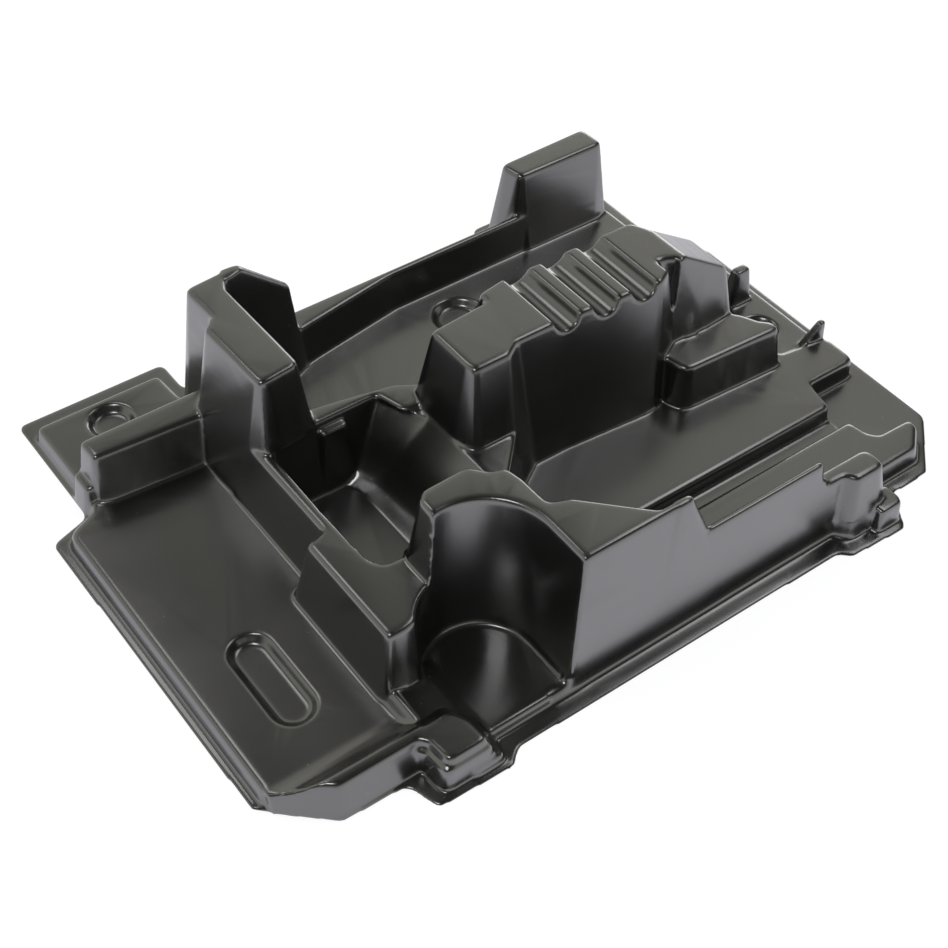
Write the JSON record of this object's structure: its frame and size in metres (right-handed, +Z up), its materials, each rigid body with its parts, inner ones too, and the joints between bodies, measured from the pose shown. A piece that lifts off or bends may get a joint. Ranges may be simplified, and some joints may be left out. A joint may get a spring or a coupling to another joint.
{
  "type": "tool case insert",
  "caption": "One-piece vacuum-formed tray for a tool carrying case, with pockets, a tall ridge with half-round grooves, posts and a flat lip",
  "frame": {"origin": "centre of the bounding box in plan, on the plane of the lip's underside", "axes": "+X along the long side to the right, +Y from the near to the far side, +Z up out of the case"},
  "size_m": [0.3606, 0.2727, 0.0762],
  "materials": {
    "tray": "satin"
  },
  "bodies": {
    "root": {"tray": "tray"}
  },
  "joints": []
}
